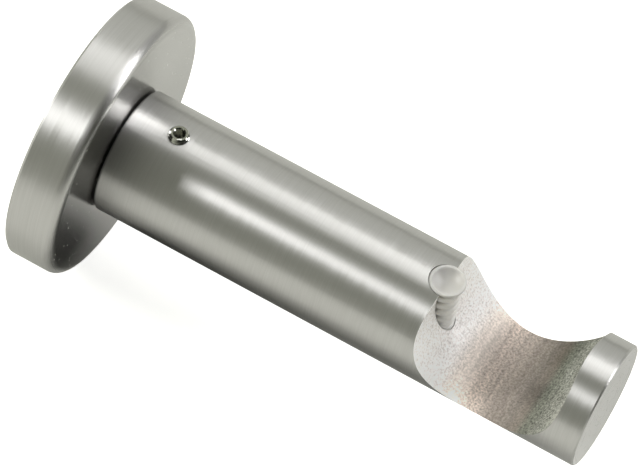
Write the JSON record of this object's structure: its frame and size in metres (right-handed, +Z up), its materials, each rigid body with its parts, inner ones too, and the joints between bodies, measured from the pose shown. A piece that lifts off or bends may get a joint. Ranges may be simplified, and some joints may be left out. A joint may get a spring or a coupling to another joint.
{
  "type": "curtain pole bracket",
  "caption": "Wall bracket for a curtain pole: round rose, straight round bar arm, half-round pole seat open at the top near its free end, and a locking screw in the seat's wall.",
  "frame": {"origin": "centre of the wall face, where the wall plate and the rose's rim meet the wall", "axes": "+Y into the wall, so the arm runs along -Y into the room; +Z up, the way the pole seat opens; X along the pole"},
  "size_m": [0.0544, 0.1129, 0.0544],
  "materials": {
    "brushed_stainless": "fine circular brushing, satin",
    "bright_screw": "bright, machined",
    "natural_nylon": "moulded, slightly translucent",
    "zinc_plate": "zinc plated"
  },
  "bodies": {
    "root": {"wall_plate": "zinc_plate", "spigot": "zinc_plate", "rose": "brushed_stainless", "arm": "brushed_stainless", "grub_screw": "bright_screw", "locking_screw": "natural_nylon"}
  },
  "joints": []
}
